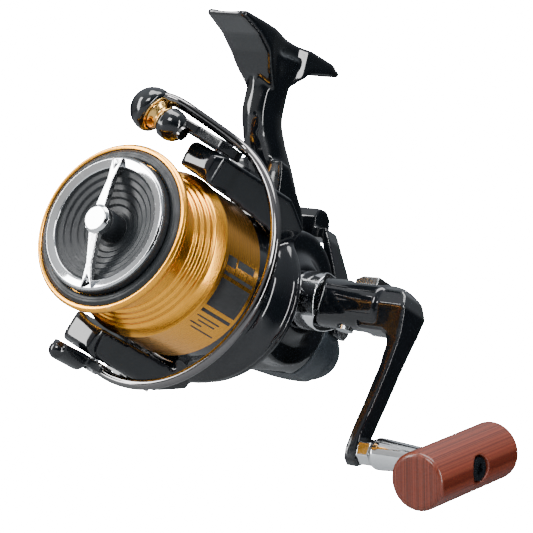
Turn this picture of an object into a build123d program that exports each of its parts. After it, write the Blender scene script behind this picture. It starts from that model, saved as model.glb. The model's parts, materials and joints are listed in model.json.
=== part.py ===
"""Spinning reel with a rear free-spool drag, as an assembly of separate pieces.

Millimetres.  The pieces are drawn in a works frame and then placed in the reel's own frame.
Works frame: the main shaft lies along Y (+Y to the rear), +X is the handle side, +Z points to
the foot, and the origin is the centre of the spool's front lip.
Own frame: the foot's seat is flat on top, its centre is the origin and its normal is +Z.
"""
import os
from math import atan2, cos, degrees, radians, sin, sqrt

from build123d import *

# ---- driving dimensions ----
SHAFT_TILT = 3.5            # the shaft leans this much from the foot, degrees
FOOT_Y = 54.0               # centre of the foot's seat in the works frame
FOOT_Z = 82.8
FOOT_LENGTH = 61.0
FOOT_WIDTH = 16.4
STEM_HALF = 4.6             # half the leg's width

SHAFT_R = 2.0               # main shaft
RUN_GAP = 0.05              # radial gap of a running fit
LIP_R = 26.5                # spool's front lip
SKIRT_R = 26.1              # spool's skirt
SKIRT_END = 42.5
ARBOR_R = 21.5

ROTOR_R = 29.6              # rear rim of the rotor
ROTOR_REAR = 60.2
ROTOR_CUP_R = 24.4          # the part of the rotor that enters the skirt
ROTOR_TURN = 19.0           # turn of the rotor's arms from +Z to +X at rest, degrees
ARM_FACE = 36.2             # outer face of a rotor arm, from the shaft
ARM_INNER = 27.4
BAIL_Y = 25.0               # pivot line of the bail
BAIL_GAP = 0.4
BAIL_PLATE = 3.2            # thickness of the two plates that carry the bail
PIVOT_SEAT = 2.6            # height of the pivot screws' seats above the plates' inner faces
PIVOT_HEAD_R = 3.1          # counterbore for a pivot screw's head
PIVOT_R = 1.5               # shank of a pivot screw
BAIL_R = 42.0               # middle of the bail wire
WIRE_R = 1.6
ROLLER_AT = (-11.0, 7.0, 36.4)        # middle of the line roller in the rotor's own frame
ROLLER_AXIS = (0.979, 0.12, -0.139)

HANDLE_Y = 78.5             # axis of the drive gear and the handle
HANDLE_Z = 6.4
CASE_R = 21.5
FOLD_X = 37.0               # fold pin of the crank
FOLD_R = 10.0
CRANK_BOSS_R = 7.8
LATCH_Z = HANDLE_Z + 6.0    # flat that the latch slides on
CRANK_END_Y = 80.0
CRANK_END_Z = -38.3
CRANK_END_X = 54.2          # outer face of the crank at the knob post
KNOB_X = 87.5
KNOB_R = 9.0
KNOB_LENGTH = 44.0
KNOB_LEAN = 29.8            # the knob's own axis, from +Y towards +Z, degrees

FACE_GEAR_TEETH = 40
PINION_TEETH = 8
MESH_Y = 16.5               # from the gear's axis to the middle of the mesh
GEAR_FACE_X = -3.0          # toothed face of the drive gear
OSC_MODULE = 0.75
OSC_PINION_TEETH = 16
OSC_GEAR_TEETH = 24
OSC_DROP = 8.246            # the oscillation gear lies this far below the handle axis
OSC_X = (4.0, 7.0)
PEG_RADIUS = 5.5            # half the stroke of the spool
GUIDE_Z = -8.2              # height of the slider's guide rod
LEVER = (106.0, 5.0)        # pivot of the free-spool lever, Y and Z

OSC_DISTANCE = OSC_MODULE * (OSC_PINION_TEETH + OSC_GEAR_TEETH) / 2
OSC_Y = HANDLE_Y + sqrt(OSC_DISTANCE**2 - OSC_DROP**2)
OSC_Z = HANDLE_Z - OSC_DROP
OSC_LINE = degrees(atan2(-OSC_DROP, OSC_Y - HANDLE_Y))
SLIDER_Y = OSC_Y - 1.5      # the slider's slot at rest

HANDLE = (HANDLE_Y, HANDLE_Z)
KNOB_AT = (CRANK_END_Y, CRANK_END_Z)
OSC = (OSC_Y, OSC_Z)
TO_OWN_FRAME = Location((0, 0, 0), (-SHAFT_TILT, 0, 0)) * Location((0, -FOOT_Y, -FOOT_Z))
ROTOR_AT = Location((0, 0, 0), (0, ROTOR_TURN, 0))


# ---- shapes used more than once ----
def cylinder(axis, radius, start, end, at=(0, 0)):
    """Cylinder along X, Y or Z, from start to end; at holds the two other coordinates in order."""
    places = {
        "X": ((start, at[0], at[1]), (1, 0, 0)),
        "Y": ((at[0], start, at[1]), (0, 1, 0)),
        "Z": ((at[0], at[1], start), (0, 0, 1)),
    }
    origin, direction = places[axis]
    return Solid.make_cylinder(radius, end - start, Plane(origin=origin, z_dir=direction))


def tube(axis, outer, inner, start, end, at=(0, 0)):
    return cylinder(axis, outer, start, end, at) - cylinder(axis, inner, start - 1, end + 1, at)


def block(x, y, z):
    """Box between two values on each axis."""
    plane = Plane(origin=(x[0], y[0], z[0]))
    return Solid.make_box(x[1] - x[0], y[1] - y[0], z[1] - z[0], plane)


def turned(outline):
    """Solid turned about the shaft, from (radius, y) points."""
    face = make_face(Polyline([(r, y, 0) for r, y in outline], close=True))
    return revolve(face, axis=Axis.Y)


def turned_on(axis, outline, at):
    """Solid turned about a line along X through at=(y, z), from (x, radius) points."""
    face = make_face(Polyline([(x, at[0] + r, at[1]) for x, r in outline], close=True))
    return revolve(face, axis=axis)


def plate_yz(outline, x):
    """Plate between two X values, from (y, z) points."""
    face = make_face(Polyline([(x[0], y, z) for y, z in outline], close=True))
    return extrude(face, amount=x[1] - x[0], dir=(1, 0, 0))


def plate_xz(outline, y):
    face = make_face(Polyline([(px, y[0], pz) for px, pz in outline], close=True))
    return extrude(face, amount=y[1] - y[0], dir=(0, 1, 0))


def plate_xy(outline, z):
    face = make_face(Polyline([(px, py, z[0]) for px, py in outline], close=True))
    return extrude(face, amount=z[1] - z[0], dir=(0, 0, 1))


def rod(start, end, radius):
    """Round rod between two points."""
    line = Vector(end) - Vector(start)
    return Solid.make_cylinder(radius, line.length, Plane(origin=start, z_dir=line))


def ball(centre, radius):
    return Pos(*centre) * Sphere(radius)


def group(solids):
    """Several separate solids that share one node."""
    return Compound(children=list(solids))


def spur_gear(centre, teeth, module, x, bore, turn=0.0):
    """Spur gear on a line along X, with straight-sided teeth and easy backlash."""
    pitch_r = teeth * module / 2
    root_r = pitch_r - 1.15 * module
    tip_r = pitch_r + 0.8 * module
    half_root = 0.72 * module
    half_tip = 0.32 * module
    gear = tube("X", root_r, bore, x[0], x[1], centre)
    outline = [(root_r - 0.4, -half_root), (tip_r, -half_tip), (tip_r, half_tip), (root_r - 0.4, half_root)]
    tooth = plate_yz(outline, x)
    for index in range(teeth):
        angle = turn + 360 * index / teeth
        gear += Location((0, centre[0], centre[1]), (angle, 0, 0)) * tooth
    return gear


def coil_spring(start, direction, radius, wire, length, turns):
    """Round-wire coil spring."""
    plane = Plane(origin=start, z_dir=direction)
    path = plane.location * Helix(pitch=length / turns, height=length, radius=radius)
    section = Plane(origin=path @ 0, z_dir=path % 0) * Circle(wire)
    return sweep(section, path=path)


def screw(head_at, direction, head_r, head_h, body_r, body_length):
    """Cross-head screw; head_at is the underside of the head and direction points down the body."""
    axis = Vector(direction).normalized()
    at = Vector(head_at)
    head = Solid.make_cylinder(head_r, head_h, Plane(origin=at - axis * head_h, z_dir=axis))
    body = Solid.make_cylinder(body_r, body_length, Plane(origin=at, z_dir=axis))
    whole = head + body
    top = Plane(origin=at - axis * head_h, z_dir=axis)
    for long, short in ((head_r, head_r / 3), (head_r / 3, head_r)):
        whole -= top * Box(long, short, head_h)
    return whole


# ---- frame: body, foot and everything fixed in it ----
CAVITY_X = (-9.0, 13.5)
COVER_X = (-15.5, -9.0)
BARREL = [(18.0, 84), (16.9, 92), (16.0, 98), (14.9, 104), (14.0, 109), (12.4, 113), (10.4, 115.5)]
BARREL_SIDE = 18.6          # widest part of the barrel, behind the rotor
BARREL_FLOOR = -13.3        # flat underside of the barrel where the rear shell starts
REAR_START = 98.0
HOUSING_END = 115.5
BUSH_WALL = (101.0, 104.6)  # wall that holds the rear bush, along the shaft
RETAINER_PLACES = [(14.2 * cos(radians(a)), 14.2 * sin(radians(a))) for a in (90, 210, 330)]
COVER_SCREWS = [(62.5, 16.5), (94.0, 17.0), (78.5, -11.4)]


def foot():
    """Foot in the reel's own frame: two wide toes, a narrow middle and a shallow groove on top."""
    half = FOOT_LENGTH / 2
    wide = FOOT_WIDTH / 2
    side = plate_yz(
        [(-half, -0.6), (-half + 1.5, 0), (half - 1.5, 0), (half, -0.6), (half, -2.0), (20, -4.6), (11, -7.4),
         (6, -13), (-4, -17), (-9.5, -12.5), (-13, -8.6), (-20, -4.8), (-half, -2.0)],
        (-wide, wide),
    )
    right = [(wide - 0.6, -half), (wide, -13.5), (STEM_HALF + 0.4, -2.0), (STEM_HALF, 4.0), (wide - 0.8, 8.5),
             (wide - 0.8, 22.0), (wide - 3.4, half)]
    left = [(-x, y) for x, y in reversed(right)]
    plan = extrude(make_face(FilletPolyline(*right, *left, radius=1.8, close=True)), amount=-18)
    solid = side & plan
    groove_r = 25.0
    groove_depth = 0.8
    for y in ((-half - 1, -9.0), (9.0, half + 1)):
        solid -= cylinder("Y", groove_r, y[0], y[1], (0, groove_r - groove_depth))
    return TO_OWN_FRAME.inverse() * solid


def leg_slab(front_points, rear_points, half_width):
    """Slab in the middle plane between a front and a rear curve of (y, z) points."""
    front = Spline([(0, y, z) for y, z in front_points])
    rear = Spline([(0, y, z) for y, z in rear_points])
    face = make_face([front, Line(front @ 1, rear @ 1), rear, Line(front @ 0, rear @ 0)])
    return extrude(face, amount=half_width, dir=(1, 0, 0), both=True)


def stem():
    """Slim leg that leans forward to the foot, and the wider root where it grows out of the body."""
    leg = leg_slab(
        [(44.2, 75.4), (46.9, 71.4), (48.6, 65.5), (49.2, 59.0), (51.4, 53.6), (56.6, 47.8), (61.6, 41.0),
         (63.6, 33.0), (64.0, 22.0)],
        [(61.4, 76.6), (62.3, 70.0), (62.8, 64.0), (64.1, 57.4), (67.9, 51.0), (74.7, 45.3), (82.0, 40.3),
         (86.4, 35.6), (89.0, 28.0), (89.0, 16.0)],
        STEM_HALF)
    leg = fillet([edge for edge in leg.edges() if edge.geom_type == GeomType.BSPLINE], 3.2)
    root = leg_slab(
        [(60.5, 45.5), (63.2, 38.0), (64.2, 30.0), (64.4, 20.0)],
        [(66.0, 45.5), (73.5, 39.5), (79.5, 34.5), (83.5, 28.0), (84.5, 18.0)],
        9.2)
    return leg + root


def outer_body():
    """Outside of the body with no hollow: neck, flange, gear case, stem and foot."""
    neck = cylinder("Y", 17.0, 42, 62)
    flange = turned([(0, 61.0), (27.4, 61.0), (28.2, 61.8), (28.2, 63.6), (24.0, 68.0), (0, 68.0)])
    case = cylinder("X", CASE_R, COVER_X[1], 16, HANDLE)
    handle_boss = turned_on(
        Axis((0, HANDLE_Y, HANDLE_Z), (1, 0, 0)),
        [(10, 0), (10, 17.5), (16, 14.5), (18.4, 11.4), (19.0, 10.8), (19.0, 0)], HANDLE)
    barrel = turned([(0, 64), (BARREL_SIDE, 64)] + BARREL[:3] + [(0, REAR_START)])
    barrel &= plate_yz([(64, -19), (80, -17.8), (93.5, -13.9), (REAR_START, BARREL_FLOOR), (REAR_START, 20), (64, 20)],
                       (-20, 20))
    return neck + flange + case + handle_boss + barrel + stem() + foot()


def gear_space():
    """Hollow for the drive gear, the pinion, the slider and the oscillation gear."""
    main = cylinder("X", 19.6, CAVITY_X[0] - 1, CAVITY_X[1], HANDLE)
    slider_room = block((-5, 4.5), (82, BUSH_WALL[0]), (GUIDE_Z - 2.6, 7))
    oscillation = cylinder("X", 10.2, 3.4, 7.5, OSC)
    return main + slider_room + oscillation


def body_frame():
    body = outer_body() - gear_space()
    body -= block((-30, COVER_X[1]), (50, 110), (-30, 60)) & cylinder("X", 24, -30, COVER_X[1], HANDLE)
    body -= cylinder("Y", 11.5, 41, 50.5)
    body -= cylinder("Y", 7.0, 50, 55)
    body -= cylinder("Y", 4.6, 54, 66)
    body -= cylinder("X", 7.5, 13, 17.5, HANDLE)
    body -= cylinder("X", 5.2, 17, 20, HANDLE)
    body += cylinder("X", SHAFT_R, OSC_X[0], 14.0, OSC)
    body += cylinder("X", 3.2, OSC_X[1] + 0.3, 14.0, OSC) & block((7.2, 14), (80, 110), (-14, 20))
    body -= cylinder("Y", 1.2, 64.0, 84, (0, GUIDE_Z))
    for y, z in COVER_SCREWS:
        body += cylinder("X", 2.6, COVER_X[1], -6.4, (y, z)) & cylinder("X", 21.0, -9, 0, HANDLE)
        body -= cylinder("X", 0.9, COVER_X[1] - 1, -6.4, (y, z))
    for place in RETAINER_PLACES:
        body -= cylinder("Y", 0.8, 41, 46, place)
    return body


def body_cover():
    """Left side cover of the gear case."""
    cover = turned_on(
        Axis((0, HANDLE_Y, HANDLE_Z), (1, 0, 0)),
        [(-9, 0), (-9, CASE_R), (-11.5, CASE_R), (-14.6, 18.8), (-15.5, 16.5), (-15.5, 0)], HANDLE)
    cover -= cylinder("X", 19.6, -11.8, -8, HANDLE)
    cover += tube("X", 9.6, 7.5, -13.5, -9.3, HANDLE)
    cover -= cylinder("X", 7.5, -13.5, -9, HANDLE)
    cover -= cylinder("X", 6.0, -16, -13, HANDLE)
    for y, z in COVER_SCREWS:
        cover += tube("X", 2.6, 0.9, -13, -9.0, (y, z))
        cover -= cylinder("X", 2.1, -16, -13.2, (y, z))
        cover -= cylinder("X", 0.9, -14, -8, (y, z))
    return cover


def rear_housing():
    """Rear shell of the body, flat below, with the pocket for the free-spool drag."""
    shell = turned([(0, REAR_START)] + BARREL[2:] + [(0, HOUSING_END)])
    shell &= plate_yz([(96, BARREL_FLOOR), (REAR_START, BARREL_FLOOR), (118, -11.2), (118, 20), (96, 20)], (-20, 20))
    shell -= gear_space() + cylinder("X", CASE_R, COVER_X[0] - 1, 17, HANDLE)
    shell -= stem()
    shell -= cylinder("Y", 4.0, BUSH_WALL[0], BUSH_WALL[1])
    shell -= cylinder("Y", 2.6, BUSH_WALL[0] - 1, BUSH_WALL[1] + 1)
    shell -= cylinder("Y", 8.6, BUSH_WALL[1], HOUSING_END + 1)
    shell -= cylinder("Y", 1.2, BUSH_WALL[0] - 1, BUSH_WALL[1] - 0.6, (0, GUIDE_Z))
    for x in ((-15.0, -11.8), (11.8, 15.0)):
        shell += cylinder("X", 4.0, x[0], x[1], LEVER)
        shell -= cylinder("X", 1.8, x[0] - 1, x[1] + 1, LEVER)
    return shell


def rear_cover():
    """Ring that closes the drag's pocket, with the neck that the tension knob turns on."""
    return turned([(3.8, 113.4), (8.6, 113.4), (8.6, HOUSING_END), (5.0, HOUSING_END), (5.0, 119.6), (3.8, 119.6)])


def handle_side_cap():
    return turned_on(
        Axis((0, HANDLE_Y, HANDLE_Z), (1, 0, 0)),
        [(-18.6, 0), (-18.6, 5.0), (-17.6, 7.6), (-15.5, 8.2), (-15.5, 6.0), (-13.6, 6.0), (-13.6, 0)], HANDLE)


def cover_screws():
    return group([screw((-13.2, y, z), (1, 0, 0), 2.0, 1.2, 0.9, 6.6) for y, z in COVER_SCREWS])


def retainer_screws():
    return group([screw((x, 40.9, z), (0, 1, 0), 1.7, 0.9, 0.8, 5.0) for x, z in RETAINER_PLACES])


def clutch_rollers():
    angles = [radians(45 * index) for index in range(8)]
    return group([cylinder("Y", 1.35, 43.6, 49.8, (6.4 * cos(a), 6.4 * sin(a))) for a in angles])


def free_spool_lever():
    """Yoke that turns on the sides of the rear housing, with a ribbed thumb piece behind the leg."""
    y, z = LEVER
    side = [(y - 3.8, z - 2.6), (y + 3.6, z - 2.6), (y + 4.0, z + 6), (y - 0.6, 23), (99.5, 30.5), (98.6, 34.4),
            (91.4, 34.4), (92.4, 29.0), (y - 5.0, 13.5)]
    lever = plate_yz(side, (-18, 18))
    half = [(15.2, 0), (17.2, 0), (17.2, 12.5), (12.8, 30.5), (10.6, 34.4), (0, 34.4), (0, 31.2), (9.6, 31.2),
            (15.2, 12.0)]
    yoke = plate_xz(half, (80, 120)) + plate_xz([(-x, height) for x, height in half], (80, 120))
    lever &= yoke
    lever += plate_yz([(91.6, 31.2), (99.2, 31.2), (100.0, 36.0), (98.6, 39.4), (95.4, 41.2), (91.6, 40.6),
                       (90.4, 37.5)], (-6.4, 6.4))
    for place in (92.6, 94.6, 96.6):
        lever -= cylinder("X", 0.45, -7, 7, (place, 41.2))
    return lever - cylinder("X", 1.8 + RUN_GAP, -20, 20, LEVER)


def lever_pins():
    pins = []
    for side in (-1, 1):
        ends = sorted((side * 11.9, side * 17.4))
        head = sorted((side * 17.4, side * 18.2))
        pins.append(cylinder("X", 1.8, ends[0], ends[1], LEVER) + cylinder("X", 2.8, head[0], head[1], LEVER))
    return group(pins)


def tension_knob():
    """Domed knob at the tail, with finger grooves."""
    knob = turned([(5.0 + RUN_GAP, 115.9), (9.2, 115.9), (9.6, 116.8), (9.3, 119.6), (7.8, 122.4), (5.0, 124.6),
                   (0, 125.6), (0, 120.4), (5.0 + RUN_GAP, 120.4)])
    for index in range(12):
        groove = cylinder("Y", 0.8, 115, 121, (10.0, 0))
        knob -= Location((0, 0, 0), (0, 30 * index, 0)) * groove
    return knob


# ---- drive: gear, handle shaft and the collar that the crank folds on ----
def drive_gear():
    gear = cylinder("X", 19.0, -5.8, GEAR_FACE_X, HANDLE)
    gear -= cylinder("X", 16.1, -4.4, GEAR_FACE_X + 1, HANDLE)
    slot = block((-4.2, -2.0), (HANDLE_Y - 19.5, HANDLE_Y - 14.6), (-0.85, 0.85))
    turn_about = Location((0, HANDLE_Y, HANDLE_Z))
    for index in range(FACE_GEAR_TEETH):
        turn = turn_about * Location((0, 0, 0), (360 * index / FACE_GEAR_TEETH, 0, 0)) * turn_about.inverse()
        gear -= turn * slot
    for index in range(6):
        hole = cylinder("X", 3.0, -7, -2, (HANDLE_Y + 10.5, HANDLE_Z))
        gear -= turn_about * Location((0, 0, 0), (60 * index, 0, 0)) * turn_about.inverse() * hole
    gear += cylinder("X", 3.8, -13.4, 17.6, HANDLE)
    gear += spur_gear(HANDLE, OSC_PINION_TEETH, OSC_MODULE, OSC_X, 3.0, OSC_LINE)
    return gear - cylinder("X", 2.5, -14, 18, HANDLE)


def handle_shaft():
    """Shaft through the gear, ending in the flat tongue that carries the fold pin."""
    shaft = cylinder("X", 2.5, -13.4, 26.2, HANDLE)
    shaft += block((26.0, FOLD_X), (HANDLE_Y - 4.6, HANDLE_Y + 4.6), (HANDLE_Z - 2.2, HANDLE_Z + 2.2))
    shaft += cylinder("Z", 4.6, HANDLE_Z - 2.2, HANDLE_Z + 2.2, (FOLD_X, HANDLE_Y))
    return shaft - cylinder("Z", 1.6 + RUN_GAP, HANDLE_Z - 3, HANDLE_Z + 3, (FOLD_X, HANDLE_Y))


def handle_collar():
    collar = turned_on(
        Axis((0, HANDLE_Y, HANDLE_Z), (1, 0, 0)),
        [(19.6, 2.5), (19.6, 8.6), (20.4, 9.25), (28.8, 9.25), (28.8, 2.5)], HANDLE)
    collar -= cylinder("Z", FOLD_R + 0.3, -10, 20, (FOLD_X, HANDLE_Y))
    return collar - block((26.0, 40), (HANDLE_Y - 4.6, HANDLE_Y + 4.6), (HANDLE_Z - 2.2, HANDLE_Z + 2.2))


# ---- crank ----
def crank_arm():
    """Boss on the fold pin, a round elbow, and a slim arm that leans out and down to the knob post."""
    boss = cylinder("X", CRANK_BOSS_R, FOLD_X - FOLD_R, 50.0, HANDLE)
    boss &= cylinder("Z", FOLD_R, -10, 20, (FOLD_X, HANDLE_Y)) + block((FOLD_X, 60), (60, 100), (-20, 30))
    outside = [(44, 14.2), (51.5, 14.2), (56.0, 13.0), (59.2, 10.2), (60.7, 6.0), (60.3, -1.0), (58.6, -10.7),
               (56.8, -20.7), (55.1, -29.0), (CRANK_END_X, -33.6), (CRANK_END_X, -45)]
    inside = [(49.4, -45), (49.8, -38.0), (51.0, -31.0), (53.0, -21.0), (54.6, -12.0), (55.4, -5.0),
              (54.8, -2.6), (53.0, -1.5), (44, -1.4)]
    side = plate_xz(outside + inside, (60, 100))
    front = plate_yz([(71.6, 6.4), (73.4, 11.6), (78.5, 14.3), (83.6, 11.6), (85.2, 6.4), (83.6, -3), (83.2, -12),
                      (83.6, -34), (83.8, -38.3), (82.8, -42), (CRANK_END_Y, -43.4), (77.2, -42), (76.2, -38.3),
                      (76.0, -34), (75.2, -12), (74.2, -3)], (40, 64))
    arm = boss + (side & front)
    arm -= block((26, FOLD_X + 4.8), (HANDLE_Y - 4.8, 95), (HANDLE_Z - 2.4, HANDLE_Z + 2.4))
    arm -= cylinder("Z", 1.6, -10, LATCH_Z + 1, (FOLD_X, HANDLE_Y))
    arm -= cylinder("Z", 2.7, -10, -0.4, (FOLD_X, HANDLE_Y))
    arm -= block((36.3, 49.2), (HANDLE_Y - 4.0, HANDLE_Y + 4.0), (LATCH_Z, 20))
    arm -= block((42.4, 47.0), (HANDLE_Y - 1.5, HANDLE_Y + 1.5), (LATCH_Z - 3.0, LATCH_Z + 1))
    return arm - cylinder("X", SHAFT_R, 45, 60, KNOB_AT)


def fold_pin():
    pin = cylinder("Z", 1.6, -1.0, LATCH_Z - 0.1, (FOLD_X, HANDLE_Y))
    return pin + cylinder("Z", 2.7, -2.0, -0.4, (FOLD_X, HANDLE_Y))


def fold_latch():
    """Sliding latch, with a lug that reaches down into the spring's pocket."""
    z = LATCH_Z + 0.05
    outline = [(38.6, z), (38.6, z + 1.6), (41.0, z + 2.8), (46.8, z + 3.0), (46.8, z)]
    latch = plate_xz(outline, (HANDLE_Y - 3.8, HANDLE_Y + 3.8))
    return latch + block((42.6, 43.4), (HANDLE_Y - 1.2, HANDLE_Y + 1.2), (LATCH_Z - 2.6, z + 0.5))


def knob_post():
    base = Plane(origin=(CRANK_END_X, CRANK_END_Y, CRANK_END_Z), z_dir=(1, 0, 0))
    hexagon = extrude(base * RegularPolygon(4.2, 6), amount=4.4)
    post = hexagon + cylinder("X", SHAFT_R, 49.8, 94.4, KNOB_AT)
    return post - cylinder("X", 1.0, 88, 95, KNOB_AT)


def knob_sleeve():
    return turned_on(
        Axis((0, CRANK_END_Y, CRANK_END_Z), (1, 0, 0)),
        [(59.0, SHAFT_R + RUN_GAP), (59.0, 4.4), (60.2, 5.0), (62.0, 5.0), (77.0, 3.9), (78.2, 4.2),
         (78.2, SHAFT_R + RUN_GAP)], KNOB_AT)


def knob():
    """Round wooden bar with its own axis leaning up to the rear."""
    lean = Location((KNOB_X, CRANK_END_Y, CRANK_END_Z), (KNOB_LEAN, 0, 0))
    bar = cylinder("Y", KNOB_R, -KNOB_LENGTH / 2, KNOB_LENGTH / 2)
    bar = lean * fillet(bar.edges().filter_by(GeomType.CIRCLE), 1.6)
    bar -= cylinder("X", 4.2, 70, 79.4, KNOB_AT)
    bar -= cylinder("X", 3.2, 70, 93, KNOB_AT)
    return bar - cylinder("X", 4.2, 92.6, 99, KNOB_AT)


def knob_screw():
    return screw((94.4, CRANK_END_Y, CRANK_END_Z), (-1, 0, 0), 3.5, 1.4, 1.0, 6.0)


# ---- oscillation gear, main shaft and slider ----
def osc_gear():
    gap_turn = OSC_LINE + 180 - 180 / OSC_GEAR_TEETH
    gear = spur_gear(OSC, OSC_GEAR_TEETH, OSC_MODULE, OSC_X, SHAFT_R + RUN_GAP, gap_turn)
    peg_rise = sqrt(PEG_RADIUS**2 - (OSC_Y - SLIDER_Y) ** 2)
    return gear + cylinder("X", 1.1, 3.5, OSC_X[0] + 0.5, (SLIDER_Y, OSC_Z + peg_rise))


def slider():
    body = block((-2.6, 3.3), (SLIDER_Y - 3.2, SLIDER_Y + 3.2), (GUIDE_Z - 2.0, 4.8))
    body -= cylinder("Y", SHAFT_R, 80, 110)
    body -= cylinder("Y", 1.2 + RUN_GAP, 80, 110, (0, GUIDE_Z))
    body -= block((2.3, 4), (SLIDER_Y - 1.25, SLIDER_Y + 1.25), (OSC_Z - 6.8, OSC_Z + 6.6))
    return body


def main_shaft():
    shaft = cylinder("Y", SHAFT_R, -4.0, 109.0)
    return shaft - cylinder("Z", 0.8, -3, 3, (0, 23.3))


def spool_seat():
    """Bush pinned to the shaft, on which the spool turns."""
    seat = tube("Y", 3.5, SHAFT_R, 7.8, 24.0) + tube("Y", 6.0, SHAFT_R, 22.6, 24.0)
    return seat - cylinder("Z", 0.8, -7, 7, (0, 23.3))


# ---- rotor ----
def rotor_arm(side):
    """One arm in the rotor's own frame, where +Z points along arm A; side is +1 for A, -1 for B."""
    profile = plate_yz([(60.2, 24.6), (60.2, 30.6), (50.5, ARM_FACE), (18.6, ARM_FACE - 0.2), (15.4, 34.6),
                        (15.4, 30.0), (16.8, 24.0), (52.6, 20.0), (58.4, 24.6)], (-20, 20))
    plan = plate_xy([(-9.0, 60.2), (-6.0, 51.0), (-5.2, 30.0), (-4.6, 19.0), (-3.6, 15.4), (7.6, 15.4),
                     (9.4, 18.0), (9.6, 27.0), (11.5, 40.0), (16.0, 60.2)], (10, 45))
    arm = profile & plan
    arm -= cylinder("Y", ARM_INNER, 10, 52.4)
    arm -= cylinder("Y", 22.6, 50, 62)
    arm -= block((-3.0, 3.0), (29.5, 48.0), (ARM_FACE - 4.2, 45))
    arm -= cylinder("Z", 1.5, 20, 45, (0, BAIL_Y))
    return Location((0, 0, 0), (0, 90 - 90 * side, 0)) * arm


def rotor():
    """Cup with a flared rear rim, a hub on the pinion and the two arms."""
    cup = turned([(7.6, 33), (ROTOR_CUP_R, 33), (ROTOR_CUP_R, 52.6), (26.2, 55), (28.6, 57), (ROTOR_R, 58.4),
                  (ROTOR_R, ROTOR_REAR), (27.8, ROTOR_REAR), (27.8, 58.8), (25.0, 56.4), (22.6, 53.4),
                  (22.6, 35.5), (9.5, 35.5), (9.5, 40), (3.0, 40), (3.0, 36), (7.6, 36)])
    for angle in (60, 120, 240, 300):
        window = cylinder("Y", 4.2, 30, 38, (16.0 * sin(radians(angle)), 16.0 * cos(radians(angle))))
        cup -= window
    return ROTOR_AT * (cup + rotor_arm(1) + rotor_arm(-1))


def arm_cover(side):
    cover = block((-4.5, 4.5), (37.0, 49.6), (ARM_FACE, ARM_FACE + 1.1))
    cover -= cylinder("Z", 0.9, 30, 40, (0, 48.6))
    return ROTOR_AT * Location((0, 0, 0), (0, 90 - 90 * side, 0)) * cover


def pinion():
    gear = cylinder("Y", 3.0, 33.2, 59.6) + cylinder("Y", 2.75, 59.6, 64.0)
    tooth = plate_xz([(2.4, -0.62), (3.9, -0.34), (3.9, 0.34), (2.4, 0.62)], (60.2, 63.8))
    for index in range(PINION_TEETH):
        gear += Location((0, 0, 0), (0, 360 * index / PINION_TEETH, 0)) * tooth
    return gear - cylinder("Y", SHAFT_R + RUN_GAP, 30, 66)


def rotor_nut():
    nut = extrude(Plane(origin=(0, 33.4, 0), z_dir=(0, 1, 0)) * RegularPolygon(6.2, 6), amount=2.6)
    return nut - cylinder("Y", 3.0, 33, 37)


def bail_spring():
    return ROTOR_AT * coil_spring((0, 31.5, ARM_FACE - 2.2), (0, 1, 0), 1.5, 0.3, 15.0, 9)


def trip_lever():
    lever = block((-2.4, 2.4), (31.0, 46.5), (ARM_FACE - 3.9, ARM_FACE - 2.3))
    lever += block((-2.4, 2.4), (31.0, 33.0), (ARM_FACE - 3.9, ARM_FACE - 0.4))
    return ROTOR_AT * Location((0, 0, 0), (0, 180, 0)) * lever


def bail_pivot_screws():
    screws = []
    for side in (1, -1):
        flip = Location((0, 0, 0), (0, 90 - 90 * side, 0))
        screws.append(flip * screw((0, BAIL_Y, 39.35), (0, 0, -1), 2.9, 1.0, 1.5, 9.5))
    return ROTOR_AT * group(screws)


# ---- bail, in the rotor's own frame ----
ROLLER_PLANE = Plane(origin=ROLLER_AT, z_dir=ROLLER_AXIS)


def along_roller(radius, start, end):
    """Cylinder on the line roller's axis; 0 is the middle of the roller."""
    at = Vector(ROLLER_AT) + Vector(ROLLER_AXIS).normalized() * start
    return Solid.make_cylinder(radius, end - start, Plane(origin=at, z_dir=ROLLER_AXIS))


def turned_on_roller(outline):
    """Solid turned about the roller's axis, from (radius, place along the axis) points."""
    face = make_face(Polyline([(r, 0, s) for r, s in outline], close=True))
    return ROLLER_PLANE.location * revolve(face, axis=Axis.Z)


def rounded_end(radius, middle, start, end):
    """Part of a ball on the roller's axis, cut flat at start and end."""
    def half_width(place):
        return sqrt(max(radius**2 - (place - middle) ** 2, 0))

    centre = (start + end) / 2
    arc = ThreePointArc((half_width(start), 0, start), (half_width(centre), 0, centre), (half_width(end), 0, end))
    edges = [arc, Line((half_width(end), 0, end), (0, 0, end)), Line((0, 0, end), (0, 0, start)),
             Line((0, 0, start), (half_width(start), 0, start))]
    return ROLLER_PLANE.location * revolve(make_face(edges), axis=Axis.Z)


def wire_stretch(centre, radius, start_angle, end_angle):
    """Bent round wire in the plane of the bail, from one angle to another, 0 being +X."""
    first = radians(start_angle)
    place = (centre[0] + radius * cos(first), BAIL_Y, centre[1] + radius * sin(first))
    section = Plane(origin=place, z_dir=(-sin(first), 0, cos(first))) * Circle(WIRE_R)
    line = Axis((centre[0], BAIL_Y, centre[1]), (0, -1, 0))
    return revolve(section, axis=line, revolution_arc=end_angle - start_angle)


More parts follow.
